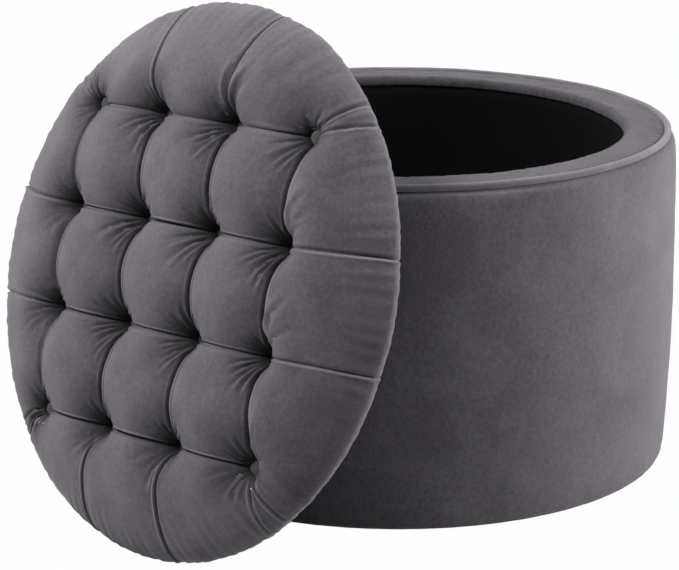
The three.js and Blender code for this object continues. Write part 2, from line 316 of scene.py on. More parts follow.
def drawn_in(line, distance):
    """The line moved inwards, square to itself."""
    line = np.array(line)
    along = np.gradient(line, axis=0)
    along /= np.linalg.norm(along, axis=1)[:, None]
    return [tuple(p) for p in line - distance * np.stack([along[:, 1], -along[:, 0]], -1)]


foam_play = 0.0004
foam_back = 0.3053
foam_outside = drawn_in(wall_line, cloth + cloth_gap + foam_play)
foam_section = [(foam_back, foam_outside[0][1]), *foam_outside, (foam_back, foam_outside[-1][1])]


def foam_shape(radius, height, angle):
    """The pad's outer face swells a little; its glued back stays round."""
    swollen = radius + ripples(angle, 3, (9, 14, 23), 0.0003)
    return np.where(radius > foam_back + 0.0007, swollen, radius), height


side_foam = solid_mesh("side_pad", *turned(foam_section, 180, foam_shape), "drum", "foam", foam)
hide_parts("side_foam")

rim_low, rim_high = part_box("rim_foam")
rim_foam_section = [
    (0.2630, rim_low.z),
    (0.3012, rim_low.z),
    (0.3022, rim_high.z - 0.003),
    (0.3005, rim_high.z - 0.0006),
    (0.2920, rim_high.z),
    (0.2700, rim_high.z),
    (0.2650, rim_high.z - 0.001),
    (0.2630, rim_high.z - 0.003),
]
rim_foam = solid_mesh("rim_pad", *turned(rim_foam_section, 180), "drum", "foam", foam)
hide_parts("rim_foam")

# ---- Velvet ---------------------------------------------------------------
# Dense short pile on a knitted back. Its colour is dark face on and painted paler where the
# surface turns away, a painted sheen, and the pile lies in soft patches where hands have brushed it.
nap, nap_in, nap_out = new_group(
    "brushed_nap",
    [
        ("Place", "NodeSocketVector", (0, 0, 0)),
        ("Patch Size", "NodeSocketFloat", 0.12),
        ("Patchiness", "NodeSocketFloat", 0.3),
    ],
    [("Lay", "NodeSocketFloat"), ("Relief", "NodeSocketFloat")],
)
per_metre = maths(nap, "DIVIDE", 1.0, nap_in.outputs["Patch Size"])
patches = add_node(
    nap,
    "ShaderNodeTexNoise",
    [
        ("Vector", nap_in.outputs["Place"]),
        ("Scale", per_metre),
        ("Detail", 4.0),
        ("Roughness", 0.55),
        ("Distortion", 0.6),
    ],
)
brush = add_node(
    nap,
    "ShaderNodeTexNoise",
    [("Vector", nap_in.outputs["Place"]), ("Scale", 230.0), ("Detail", 3.0), ("Roughness", 0.6)],
)
mixed = add_node(
    nap,
    "ShaderNodeMix",
    [(0, 0.46), (2, patches.outputs["Fac"]), (3, brush.outputs["Fac"])],
    data_type="FLOAT",
)
centred = maths(nap, "SUBTRACT", mixed.outputs[0], 0.5)
lay = maths(nap, "MULTIPLY_ADD", centred, nap_in.outputs["Patchiness"], 0.5)
pile = cloud(nap, nap_in.outputs["Place"], 1500.0, 2.0)
nap.links.new(lay, nap_out.inputs["Lay"])
relief = maths(nap, "MULTIPLY_ADD", pile.outputs["Fac"], 0.35, brush.outputs["Fac"])
nap.links.new(relief, nap_out.inputs["Relief"])


def velvet_cloth(name, patch_size, patchiness, face_on, nap_and_sheen_colour):
    """Velvet from its colour face on and a paler colour, reached in pale nap patches and painted in
    as sheen where the surface turns away.

    A piece's own attributes, from 0 to 1, say where the colour is darkened as painted shade in wells
    and folds and where it is lightened as a painted highlight along fold lips.
    """
    material, tree, shader, place = new_material(name)
    brushed = add_node(tree, "ShaderNodeGroup", node_tree=nap)
    tree.links.new(place, brushed.inputs["Place"])
    brushed.inputs["Patch Size"].default_value = patch_size
    brushed.inputs["Patchiness"].default_value = patchiness
    # Painted sheen: Layer Weight's facing drives the base colour from the face-on colour to the paler one as
    # the surface turns away.
    turn = add_node(tree, "ShaderNodeLayerWeight", [("Blend", 0.5)])
    away = maths(tree, "POWER", turn.outputs["Facing"], 0.9)
    painted_sheen_and_nap = maths(tree, "ADD", away, brushed.outputs["Lay"])
    # Painted highlight: an attribute pushes the base colour towards the paler one along fold lips.
    lip = add_node(tree, "ShaderNodeAttribute", attribute_name="lip")
    painted_sheen_and_nap = maths(tree, "MULTIPLY_ADD", lip.outputs["Fac"], 0.8, painted_sheen_and_nap)
    painted_sheen_and_nap = maths(tree, "SUBTRACT", painted_sheen_and_nap, 0.5, clamp=True)
    colour = ramp(tree, painted_sheen_and_nap, [(0.0, face_on), (1.0, nap_and_sheen_colour)])
    # Painted shade: an attribute darkens the base colour towards a sixth of the face-on colour in wells and
    # folds.
    painted_shade = add_node(tree, "ShaderNodeAttribute", attribute_name="painted_shade")
    painted_shade_colour = tuple(0.16 * part for part in face_on)
    painted_shade_mix = add_node(
        tree,
        "ShaderNodeMix",
        [(0, painted_shade.outputs["Fac"]), (6, colour), (7, (*painted_shade_colour, 1))],
        data_type="RGBA",
    )
    tree.links.new(painted_shade_mix.outputs[2], shader.inputs["Base Color"])
    shader.inputs["Roughness"].default_value = 0.92
    shader.inputs["Specular IOR Level"].default_value = 0.15
    shader.inputs["Sheen Weight"].default_value = 0.12
    shader.inputs["Sheen Roughness"].default_value = 0.4
    shader.inputs["Sheen Tint"].default_value = (0.80, 0.76, 0.82, 1)
    raise_surface(tree, shader, brushed.outputs["Relief"], 0.4, 0.0009)
    return material


def mark_painted_light(piece, name, amounts):
    """Keeps an amount from 0 to 1 for each of the piece's first points; the rest get none."""
    values = np.zeros(len(piece.data.vertices))
    values[: len(amounts)] = amounts
    piece.data.attributes.new(name, "FLOAT", "POINT").data.foreach_set("value", values)


# The paler colour is painted sheen at grazing angles, painted highlight on fold lips, and the tone of pale
# nap patches.
face_on, nap_and_sheen_colour = (0.072, 0.066, 0.075), (0.203, 0.189, 0.208)
drum_velvet = velvet_cloth("drum_velvet", 0.09, 1.45, face_on, nap_and_sheen_colour)
lid_velvet = velvet_cloth("lid_velvet", 0.07, 1.35, face_on, nap_and_sheen_colour)

# ---- Drum, side cover -----------------------------------------------------
# One strip of velvet stretched round the wall, joined by a seam at the back,
# stapled under the base and sewn to the piping at the top.
top_draw, foot_draw = 0.028, 0.020
seam_angle = math.radians(90)
wall_radius = 0.32
hem_end = 0.30


def ridge(x, width):
    """A soft ridge: 1 at its middle, falling away over its width."""
    return np.exp(-((x / width) ** 2))


def wall_shape(radius, height, angle):
    """Slight swells in the wall, a tight top edge and the seam at the back."""
    on_wall = radius > hem_end
    body = np.clip((height - wall_foot) / (wall_top - wall_foot), 0, 1)
    soft = np.sin(math.pi * body) ** 0.5 * on_wall
    swell = ripples(angle, 5, (3, 5, 8, 13), 0.0009) + ripples(angle + 2 * body, 6, (17, 29), 0.0003)
    near_top = ridge(wall_top - height, top_draw) * on_wall
    near_foot = ridge(height - wall_foot, foot_draw) * on_wall
    pucker = ripples(angle, 8, (47, 71, 97, 133), 0.0003) * near_top
    pucker = pucker + ripples(angle, 9, (41, 67, 103), 0.0005) * near_foot
    off = (np.mod(angle - seam_angle + math.pi, 2 * math.pi) - math.pi) * wall_radius
    seam = 0.0004 * ridge(np.abs(off) - 0.005, 0.003) - 0.0011 * ridge(off, 0.0016)
    return radius + swell * soft + pucker + seam * soft, height


wall_outside = [
    (hem_radius, hem_height),
    (0.295, hem_height - 0.0002),
    (0.306, hem_height),
    (0.3100, hem_height + 0.0006),
    *wall_line,
]
wall_inside = drawn_in(wall_outside, cloth)[::-1]
side_cover = solid_mesh(
    "side_velvet", *turned([*wall_outside, *wall_inside], 600, wall_shape), "drum", "velvet", drum_velvet
)
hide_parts("side_cover")

# ---- Drum, rim cover ------------------------------------------------------
# A flat ring of the same velvet from the piping to the mouth, where it turns
# down over the edge. It puckers a little where it is drawn round the curve.
rim_top = 0.382
mouth, mouth_round, mouth_lip = 0.261, 0.0052, 0.010
pucker_reach = 0.0405
# The same velvet in darker colours: painted shade over the whole rim.
shaded_rim_velvet = velvet_cloth("shaded_rim_velvet", 0.07, 2.0, (0.042, 0.039, 0.044), (0.118, 0.110, 0.122))


def rim_shape(radius, height, angle):
    """Shallow radial puckers, deepest at the mouth and beside the piping."""
    across = np.clip((radius - mouth) / pucker_reach, 0, 1)
    at_ends = np.abs(2 * across - 1) ** 2
    waves = ripples(angle, 11, (53, 89, 127, 181), 0.0007) * at_ends
    waves = waves + ripples(angle + 0.3 * across, 12, (11, 19, 31), 0.0006)
    lip = height < rim_top - 0.004
    return radius - np.where(lip, waves, 0), height + np.where(lip, 0, waves - 0.0006)


rim_outside = [(0.3043, rim_top - 0.0040), (0.3038, rim_top - 0.0020), (0.3020, rim_top - 0.0005)]
rim_outside += [(r, rim_top) for r in np.linspace(0.299, 0.267, 12)]
for turn in np.linspace(0, math.pi / 2, 7):
    inwards, down = mouth_round * math.sin(turn), mouth_round * (1 - math.cos(turn))
    rim_outside.append((mouth + mouth_round - inwards, rim_top - down))
rim_outside += [(mouth, rim_top - 0.75 * mouth_lip), (mouth + 0.0002, rim_top - mouth_lip)]
rim_section = [*rim_outside, *drawn_in(rim_outside[::-1], cloth)]
rim_cover = solid_mesh("rim_velvet", *turned(rim_section, 720, rim_shape), "drum", "velvet", shaded_rim_velvet)
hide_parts("rim_cover")

# ---- Drum, piping ---------------------------------------------------------
# A fat cord in a bias strip of velvet, sewn between the wall and the rim.
piping_radius = (piping_high.z - piping_low.z) / 2
piping_ring = (piping_high.x - piping_low.x) / 2 - piping_radius
piping_height = drum_axis.z
# The same velvet in paler colours: a painted highlight along the cord.
highlighted_piping_velvet = velvet_cloth("highlighted_piping_velvet", 0.05, 1.2, (0.105, 0.097, 0.109), (0.265, 0.248, 0.272))


def piping_shape(radius, height, angle):
    """The cord's strip pulls slightly at its stitches."""
    thick = 1 + ripples(angle, 21, (7, 33, 77, 151), 0.06)
    wander = ripples(angle, 22, (4, 9, 16), 0.0006)
    return (
        piping_ring + (radius - piping_ring) * thick + wander,
        piping_height + (height - piping_height) * thick + ripples(angle, 23, (3, 10, 18), 0.0005),
    )


piping_section = [
    (piping_ring + piping_radius * math.cos(t), piping_height + piping_radius * math.sin(t))
    for t in np.linspace(0, 2 * math.pi, 18, endpoint=False)
]
rim_piping = solid_mesh(
    "velvet_piping", *turned(piping_section, 480, piping_shape), "drum", "velvet", highlighted_piping_velvet
)
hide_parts("rim_piping")

# ---- Drum, linings --------------------------------------------------------
# Black non-woven cloth inside the drum and under its base.
felt, felt_in, felt_out = new_group(
    "felted_cloth",
    [("Place", "NodeSocketVector", (0, 0, 0)), ("Fibres", "NodeSocketFloat", 900.0)],
    [("Tone", "NodeSocketFloat"), ("Height", "NodeSocketFloat")],
)
at = ("Vector", felt_in.outputs["Place"])
fibres = cloud(felt, felt_in.outputs["Place"], felt_in.outputs["Fibres"], 3.0)
dimples = add_node(felt, "ShaderNodeTexVoronoi", [at, ("Scale", 480.0)])
dust = cloud(felt, felt_in.outputs["Place"], 14.0, 5.0)
tone = maths(felt, "MULTIPLY", fibres.outputs["Fac"], dust.outputs["Fac"])
felt.links.new(tone, felt_out.inputs["Tone"])
felt.links.new(dimples.outputs["Distance"], felt_out.inputs["Height"])

black_cloth, tree, shader, place = new_material("black_cloth")
weave = add_node(tree, "ShaderNodeGroup", node_tree=felt)
tree.links.new(place, weave.inputs["Place"])
tint(
    tree, shader, weave.outputs["Tone"], [(0.1, (0.0008, 0.0008, 0.0009)), (0.5, (0.0024, 0.0024, 0.0026))]
)
shader.inputs["Roughness"].default_value = 0.95
shader.inputs["Specular IOR Level"].default_value = 0.1
raise_surface(tree, shader, weave.outputs["Height"], 0.35, 0.0004)

lining_low, lining_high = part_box("wall_lining")
lining_face, lining_back = 0.2613, 0.2626
lining_heights = np.linspace(lining_high.z, lining_low.z, 30)
lining_section = [(lining_face, z) for z in lining_heights]
lining_section += [(lining_back, z) for z in lining_heights[::-1]]


def lining_shape(radius, height, angle):
    """The lining stands slightly slack off the shell."""
    part = (height - lining_low.z) / (lining_high.z - lining_low.z)
    slack = np.sin(math.pi * part) * (radius < lining_back - 0.0006)
    return radius - np.abs(ripples(angle, 31, (5, 9, 14, 22), 0.0016)) * slack, height


wall_lining = solid_mesh(
    "wall_lining_cloth", *turned(lining_section, 240, lining_shape), "drum", "black_cloth", black_cloth
)
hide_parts("wall_lining")


def cloth_disc(radius, bottom, top, axis, sag, seed):
    """A closed disc of cloth with a slightly uneven face, in rings about an axis (x, y)."""
    rings_count, segments = 24, 120
    points, faces = [(axis[0], axis[1], bottom)], []
    levels = [(r, bottom) for r in np.linspace(0, radius, rings_count + 1)[1:]]
    levels += [(r, top) for r in np.linspace(radius, 0, rings_count + 1)[:-1]]
    for r, z in levels:
        for step in range(segments):
            a = 2 * math.pi * step / segments
            x, y = r * math.cos(a), r * math.sin(a)
            wave = sag * noise.noise((9 * x + seed, 9 * y, 0)) * (1 - (r / radius) ** 4)
            points.append((axis[0] + x, axis[1] + y, z + wave))
    points.append((axis[0], axis[1], top))
    for step in range(segments):
        after = (step + 1) % segments
        faces.append((0, 1 + after, 1 + step))
        for level in range(len(levels) - 1):
            a, b = 1 + level * segments, 1 + (level + 1) * segments
            faces.append((a + step, a + after, b + after, b + step))
        last = 1 + (len(levels) - 1) * segments
        faces.append((last + step, last + after, len(points) - 1))
    return points, faces


axis = (drum_axis.x, drum_axis.y)
low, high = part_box("floor_lining")
floor_disc = cloth_disc(lining_face - 0.0005, low.z, high.z, axis, 0.0003, 4)
floor_lining = solid_mesh("floor_lining_cloth", *floor_disc, "drum", "black_cloth", black_cloth)
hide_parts("floor_lining")

low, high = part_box("base_dust_cloth")
base_dust_cloth = solid_mesh(
    "base_dust_sheet", *cloth_disc(0.300, low.z, high.z, axis, 0.0006, 7), "drum", "black_cloth", black_cloth
)
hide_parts("base_dust_cloth")

# ---- Staples --------------------------------------------------------------
# Wire staples round both dust cloths, set by a tree that strings them on a circle.
staple_tree = bpy.data.node_groups.new("staples_on_circle", "GeometryNodeTree")
for socket, kind, value in (
    ("Ring Radius", "NodeSocketFloat", 0.29),
    ("Count", "NodeSocketInt", 60),
    ("Staple Width", "NodeSocketFloat", 0.010),
    ("Wire Radius", "NodeSocketFloat", 0.0005),
    ("Skew", "NodeSocketFloat", 0.25),
    ("Finish", "NodeSocketMaterial", None),
):
    item = staple_tree.interface.new_socket(socket, in_out="INPUT", socket_type=kind)
    if value is not None:
        item.default_value = value
staple_tree.interface.new_socket("Staples", in_out="OUTPUT", socket_type="NodeSocketGeometry")
given = staple_tree.nodes.new("NodeGroupInput")
result = staple_tree.nodes.new("NodeGroupOutput")
ring_curve = add_node(
    staple_tree,
    "GeometryNodeCurvePrimitiveCircle",
    [("Resolution", given.outputs["Count"]), ("Radius", given.outputs["Ring Radius"])],
)
ring_points = add_node(
    staple_tree,
    "GeometryNodeCurveToPoints",
    [("Curve", ring_curve.outputs["Curve"]), ("Count", given.outputs["Count"])],
    mode="COUNT",
)
half = maths(staple_tree, "MULTIPLY", given.outputs["Staple Width"], 0.5)
left_end = add_node(staple_tree, "ShaderNodeCombineXYZ", [("X", maths(staple_tree, "MULTIPLY", half, -1.0))])
right_end = add_node(staple_tree, "ShaderNodeCombineXYZ", [("X", half)])
staple_crown = add_node(
    staple_tree,
    "GeometryNodeCurvePrimitiveLine",
    [("Start", left_end.outputs[0]), ("End", right_end.outputs[0])],
)
wire = add_node(
    staple_tree,
    "GeometryNodeCurvePrimitiveCircle",
    [("Resolution", 6), ("Radius", given.outputs["Wire Radius"])],
)
staple = add_node(
    staple_tree,
    "GeometryNodeCurveToMesh",
    [("Curve", staple_crown.outputs[0]), ("Profile Curve", wire.outputs["Curve"]), ("Fill Caps", True)],
)
position = staple_tree.nodes.new("GeometryNodeInputPosition")
separate = add_node(staple_tree, "ShaderNodeSeparateXYZ", [(0, position.outputs[0])])
outward_turn = maths(staple_tree, "ARCTAN2", separate.outputs["Y"], separate.outputs["X"])
chance_turn = add_node(staple_tree, "FunctionNodeRandomValue", [("Seed", 17)], data_type="FLOAT")
centred = maths(staple_tree, "SUBTRACT", chance_turn.outputs[1], 0.5)
skewed = maths(staple_tree, "MULTIPLY_ADD", centred, given.outputs["Skew"], outward_turn)
along_ring = maths(staple_tree, "ADD", skewed, math.pi / 2)
turn_about = add_node(staple_tree, "ShaderNodeCombineXYZ", [("Z", along_ring)])
strung = add_node(
    staple_tree,
    "GeometryNodeInstanceOnPoints",
    [
        ("Points", ring_points.outputs["Points"]),
        ("Instance", staple.outputs[0]),
        ("Rotation", turn_about.outputs[0]),
    ],
)
real = add_node(staple_tree, "GeometryNodeRealizeInstances", [("Geometry", strung.outputs[0])])
finished = add_node(
    staple_tree,
    "GeometryNodeSetMaterial",
    [("Geometry", real.outputs[0]), ("Material", given.outputs["Finish"])],
)
staple_tree.links.new(finished.outputs[0], result.inputs[0])


def staple_ring(name, body, ring_radius, count, place):
    """A plain mesh of staples on a circle, set in place by a matrix."""
    carrier = bpy.data.objects.new(name + "_tree", bpy.data.meshes.new(name + "_tree"))
    bpy.context.collection.objects.link(carrier)
    modifier = carrier.modifiers.new("staples", "NODES")
    modifier.node_group = staple_tree
    values = {"Ring Radius": ring_radius, "Count": count, "Finish": zinc_steel}
    for item in staple_tree.interface.items_tree:
        if item.in_out == "INPUT" and item.name in values:
            modifier[item.identifier] = values[item.name]
    bpy.context.view_layer.update()
    mesh = bpy.data.meshes.new_from_object(carrier.evaluated_get(bpy.context.evaluated_depsgraph_get()))
    bpy.data.objects.remove(carrier)
    mesh.transform(place)
    mesh.name = name
    piece = bpy.data.objects.new(name, mesh)
    bpy.context.collection.objects.link(piece)
    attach(piece, body)
    return piece


low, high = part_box("base_dust_cloth")
under_base = Matrix.Translation((drum_axis.x, drum_axis.y, low.z - 0.0003))
staple_ring("base_staples", "drum", 0.2925, 72, under_base)

# ---- Lid, its place -------------------------------------------------------
# The lid leans on the drum. Its own frame has the seating face at height 0 and
# the cushion outwards; the four locating blocks on its underside give the frame.


def middle(node):
    low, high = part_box(node)
    return (low + high) / 2


seat_above_blocks = 0.0094
blocks = [middle(f"locating_block_{number}") for number in range(1, 5)]
lid_right = (blocks[0] - blocks[2]).normalized()
lid_up = (blocks[1] - blocks[3]).normalized()
lid_out = lid_right.cross(lid_up)
lid_seat = sum(blocks, Vector()) / 4 + seat_above_blocks * lid_out
lid_place = Matrix.Identity(4)
for row in range(3):
    lid_place[row] = (lid_right[row], lid_up[row], lid_out[row], lid_seat[row])
to_lid = lid_place.inverted()


def button_middle(node):
    """A button's place in the lid's frame, from the mean of its own points."""
    points = {tuple(round(c, 6) for c in v.co) for v in nodes[node].data.vertices}
    return to_lid @ (sum((Vector(p) for p in points), Vector()) / len(points))


button_places = {
    (row, column): button_middle(f"button_{row}_{column}") for row in range(1, 5) for column in range(1, 5)
}
tuft_axis = button_places[1, 4] - button_places[1, 1]
twist = math.atan2(tuft_axis.y, tuft_axis.x)
pitch = tuft_axis.length / 3

dust_points, dust_faces = cloth_disc(0.256, -0.0011, -0.0003, (0, 0), 0.0004, 12)
dust_points = [lid_place @ Vector(p) for p in dust_points]
lid_dust_cloth = solid_mesh("lid_dust_sheet", dust_points, dust_faces, "lid", "black_cloth", black_cloth)
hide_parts("lid_dust_cloth")
staple_ring("lid_staples", "lid", 0.2515, 64, lid_place @ Matrix.Translation((0, 0, -0.0014)))

# ---- Lid, cushion cover ---------------------------------------------------
# Velvet drawn down at sixteen buttons over a thick pad. Between the buttons it
# folds into straight seams, outside them into pleats that run over the edge,
# and small creases fan out from every button.
cells_across = 3
steps = 56
edge_radius, edge_height, crown_height = 0.293, 0.020, 0.080
edge_round = 0.012
button_seat = 0.032
seam_height = 0.063

# Directions in which the twelve outer buttons' pleats meet the edge, from the lower left button round.
pleat_ends = np.radians([-133.0, -101.7, -76.0, -46.0, -7.5, 15.6, 45.5, 79.5, 107.9, 139.0, 170.5, 193.9])

t = np.arange(steps) / steps
clustered = t - 0.6 * np.sin(2 * math.pi * t) / (2 * math.pi)
lines = np.concatenate([clustered + cell for cell in range(cells_across)] + [[cells_across]])
grid_lines = (lines - 1.5) * pitch
side_count = cells_across * steps

# Outline of the square through the outer buttons, counter-clockwise from its lower left corner
loop = (
    [(i, 0) for i in range(side_count)]
    + [(side_count, j) for j in range(side_count)]
    + [(i, side_count) for i in range(side_count, 0, -1)]
    + [(0, j) for j in range(side_count, 0, -1)]
)
loop = np.array(loop)
# The far sides run backwards, which the clustering allows as it is even in each cell.
loop_turn = np.concatenate([clustered + cell for cell in range(4 * cells_across)])


def eased(turns, values):
    """A closed smooth curve through the values at whole turns; each lap adds a full circle."""
    count = len(values)
    at = np.floor(turns).astype(int)
    part = turns - at

    def value(k):
        return values[k % count] + 2 * math.pi * (k // count)

    return spline(*(value(at + k) for k in (-1, 0, 1, 2)), part)


edge_turn = eased(loop_turn, pleat_ends) - twist
crown_rings, skirt_rings, wrap_rings = 44, 14, 8

square_p, square_q = np.meshgrid(grid_lines, grid_lines, indexing="ij")
loop_p, loop_q = square_p[loop[:, 0], loop[:, 1]], square_q[loop[:, 0], loop[:, 1]]
outward = np.sin(math.pi / 2 * np.arange(1, crown_rings + 1) / crown_rings)[:, None]
ring_p = (1 - outward) * loop_p + outward * edge_radius * np.cos(edge_turn)
ring_q = (1 - outward) * loop_q + outward * edge_radius * np.sin(edge_turn)

flat_p = np.concatenate([square_p.ravel(), ring_p.ravel()])
flat_q = np.concatenate([square_q.ravel(), ring_q.ravel()])


def smoothstep(low, high, x):
    """Rises smoothly from 0 at the low value to 1 at the high one."""
    t = np.clip((x - low) / (high - low), 0, 1)
    return t * t * (3 - 2 * t)


def distance_to(p, q, start, end):
    """Distance along, distance across (left positive) and nearest distance to a straight fold."""
    ahead = np.array(end) - np.array(start)
    length = np.hypot(*ahead)
    ahead = ahead / length
    along = (p - start[0]) * ahead[0] + (q - start[1]) * ahead[1]
    across = (q - start[1]) * ahead[0] - (p - start[0]) * ahead[1]
    beyond = np.maximum(0, np.maximum(-along, along - length))
    return along, across, np.hypot(across, beyond), length


def valley(distance, width, fullness=2.3):
    """A puff's rounded shoulder: 1 in the fold, 0 from the width outwards."""
    s = np.clip(1 - distance / width, 0, 1)
    return 1 - np.clip(1 - s**fullness, 0, 1) ** (1 / fullness)


def folded(x, folds):
    """The height of several folds side by side, x across them."""
    return sum(height * ridge(x - off, width) for off, height, width in folds)


# Folds beside a seam or a pleat: how far off its line, how high, how wide
upright_folds = [
    (0.0, -0.0022, 0.0012),
    (0.0032, 0.0012, 0.0014),
    (-0.0034, 0.0014, 0.0012),
    (-0.0056, -0.0013, 0.0010),
    (-0.0078, 0.0012, 0.0011),
    (-0.0100, -0.0009, 0.0010),
]
level_folds = [(-0.0010, -0.0020, 0.0010), (0.0015, 0.0022, 0.0011), (-0.0055, 0.0009, 0.0022)]
pleat_folds = [(0.0, -0.0018, 0.0011), (0.0024, 0.0017, 0.0013), (-0.0040, 0.0006, 0.0020)]
# Creases fanned out of a button: first and last heading in degrees, how many, how long
usual_fans = [(194, 256, 4, 0.037), (15, 75, 3, 0.022), (104, 166, 3, 0.025), (285, 345, 2, 0.020)]
own_fans = {
    (2, 3): (1, (60, 98, 4, 0.056)),
    (3, 1): (1, (42, 86, 4, 0.056)),
    (3, 2): (1, (42, 86, 4, 0.056)),
    (3, 0): (3, (275, 320, 4, 0.026)),
}
sharing = 3.0  # the higher, the more the deepest of the hollows that meet takes over

radius = np.hypot(flat_p, flat_q)
heading = np.arctan2(flat_q, flat_p)
slope = np.clip(radius / edge_radius, 0, 1)
crown = edge_height + (crown_height - edge_height) * (1 - slope**6)
at_edge = np.clip((radius - edge_radius + edge_round) / edge_round, 0, 1)
crown = crown - 0.5 * edge_round * (1 - np.sqrt(1 - at_edge**2))
seam_depth = (crown_height - seam_height) * (1 - 0.30 * slope**2)
end_depth = 0.021 * (1 - 0.35 * slope**2)
tufts = [((column - 1.5) * pitch, (row - 1.5) * pitch) for column in range(4) for row in range(4)]
nearest = np.min([np.hypot(flat_p - x, flat_q - y) for x, y in tufts], axis=0)
# dark and pale collect the painted shade along fold lines and the painted highlight on their lips.
hollow, raised, dark, pale = (np.zeros_like(flat_p) for _ in range(4))
chance = random.Random(41)


def sew_seam(start, end, upright):
    """A straight seam between two buttons, with a painted shade line in its fold and a painted highlight on
    its lip.
    """
    along, across, nearby, length = distance_to(flat_p, flat_q, start, end)
    from_middle = np.clip(np.abs(2 * along / length - 1), 0, 1)
    depth = seam_depth + end_depth * from_middle**1.7
    hollow[:] += (depth * valley(np.maximum(nearby - 0.0008, 0), 0.054, 2.0)) ** sharing
    x = across + chance.uniform(-0.8, 0.8) * 0.001 * np.sin(math.pi * np.clip(along / length, 0, 1))
    folds, dark_off, pale_off, pale_share = (
        (upright_folds, 0.0, -0.0034, 1.0) if upright else (level_folds, -0.0010, 0.0017, 1.2)
    )
    inside = smoothstep(-0.002, 0.012, along) * smoothstep(-0.002, 0.012, length - along)
    raised[:] += folded(x, folds) * inside * smoothstep(0.008, 0.020, nearest)
    on_seam = (along > 0) * (along < length)
    # painted shade along the seam's fold line
    dark[:] = np.maximum(dark, 0.55 * ridge(x - dark_off, 0.0016) * on_seam)
    # painted highlight along the seam's lip
    pale[:] = np.maximum(pale, pale_share * ridge(x - pale_off, 0.0012) * on_seam)


def lay_pleat(start, angle, corner, side):
    """A pleat from an outer button over the edge, folded to one side."""
    meet = (edge_radius * math.cos(angle), edge_radius * math.sin(angle))
    end = tuple(1.06 * m - 0.06 * b for m, b in zip(meet, start))
    along, across, nearby, length = distance_to(flat_p, flat_q, start, end)
    part = np.clip(along / length, 0, 1)
    depth, width = (0.0050, 0.036) if corner else (0.0070, 0.046)
    hollow[:] += (depth * (1 - 0.60 * part) * valley(nearby, width, 2.4)) ** sharing
    x = side * (across + chance.uniform(-1, 1) * 0.002 * np.sin(math.pi * part))
    raised[:] += folded(x, pleat_folds) * smoothstep(0.006, 0.018, along) * (along < length)
    on_pleat = (along > 0) * (along < length)
    # painted shade along the pleat's fold line
    dark[:] = np.maximum(dark, 0.60 * (1 - 0.4 * part) * ridge(x, 0.0013) * on_pleat)
    # painted highlight along the pleat's lip
    pale[:] = np.maximum(pale, ridge(x - 0.0027, 0.0013) * on_pleat)


def sink_well(x, y, fans):
    """A button's well, and the creases that fan out of it."""
    near = np.hypot(flat_p - x, flat_q - y)
    well = valley(np.clip(near - 0.0036, 0, 1), 0.074, 2.2)
    hollow[:] += (np.maximum(crown - button_seat, 0) * well) ** sharing
    for first, last, count, reach in fans:
        bend = chance.uniform(-0.25, 0.25)
        for k in range(count):
            angle = math.radians(first + (last - first) * (k + chance.uniform(0.2, 0.8)) / count)
            long = reach * chance.uniform(0.6, 1.3)
            high = chance.uniform(0.0018, 0.0034)
            swing = np.arctan2(flat_q - y, flat_p - x) - angle - bend * (near - 0.01) / 0.05
            swing = np.mod(swing + math.pi, 2 * math.pi) - math.pi
            wide = (0.0009 if reach < 0.05 else 0.0019) + 0.033 * np.clip(near, 0, 0.05)
            crease = -ridge(swing * near, wide) + 0.8 * ridge(swing * near - 1.9 * wide, 1.1 * wide)
            here = smoothstep(0.009, 0.014, near) * (1 - smoothstep(0.35 * long, long, near - 0.01))
            raised[:] += high * crease * here * (np.abs(swing) < 1.0)

for line in range(4):
    for cell in range(cells_across):
        for upright in (False, True):
            fixed, start, end = (line - 1.5) * pitch, (cell - 1.5) * pitch, (cell - 0.5) * pitch
            ends = ((fixed, start), (fixed, end)) if upright else ((start, fixed), (end, fixed))
            sew_seam(*ends, upright)

outer_buttons = [(0, 0), (1, 0), (2, 0), (3, 0), (3, 1), (3, 2)]
outer_buttons += [(3, 3), (2, 3), (1, 3), (0, 3), (0, 2), (0, 1)]
for number, (column, row) in enumerate(outer_buttons):
    start = ((column - 1.5) * pitch, (row - 1.5) * pitch)
    corner = number % 3 == 0
    for turn in (-0.045, 0.045) if corner else (0.0,):
        lay_pleat(start, pleat_ends[number] - twist + turn, corner, -1 if 0 < number < 8 else 1)

for column in range(4):
    for row in range(4):
        fans = list(usual_fans)
        if (column, row) in own_fans:
            which, fan = own_fans[column, row]
            fans[which] = fan
        sink_well((column - 1.5) * pitch, (row - 1.5) * pitch, fans)

drop = hollow ** (1 / sharing) - raised
# Painted shade: the colour is darkened in and around every button's well and along the fold lines.
painted_shade = 0.80 * ridge(nearest, 0.013) + 0.50 * ridge(nearest, 0.038)
painted_shade = np.clip(painted_shade + dark * (1 - painted_shade), 0, 1)
# Painted highlight along the fold lips, kept off the buttons.
lip = pale * smoothstep(0.004, 0.016, nearest)
tall = crown_height - edge_height
facing_r, facing_z = slope / edge_radius, np.sqrt(np.clip(1 - slope**2, 0, 1)) / tall
size = np.hypot(facing_r, facing_z)
facing_r, facing_z = facing_r / size, facing_z / size
blend = smoothstep(0.235, 0.290, radius)
pull_r, pull_z = blend * facing_r, (1 - blend) + blend * facing_z
size = np.hypot(pull_r, pull_z)
pull_r, pull_z = pull_r / size, pull_z / size

# uneven stuffing, and small gathers that grow towards the edge
uneven = np.array([noise.noise((11 * a, 11 * b, 3.1)) for a, b in zip(flat_p, flat_q)]) * 0.0022
uneven += np.array([noise.noise((34 * a, 34 * b, 9.7)) for a, b in zip(flat_p, flat_q)]) * 0.0007
gather = (0.0018 + ripples(heading, 51, (37, 59, 83, 109, 139), 0.0013)) * smoothstep(0.235, 0.293, radius)
lift = uneven + gather - drop
top_r = radius + lift * pull_r
top_w = crown + lift * pull_z

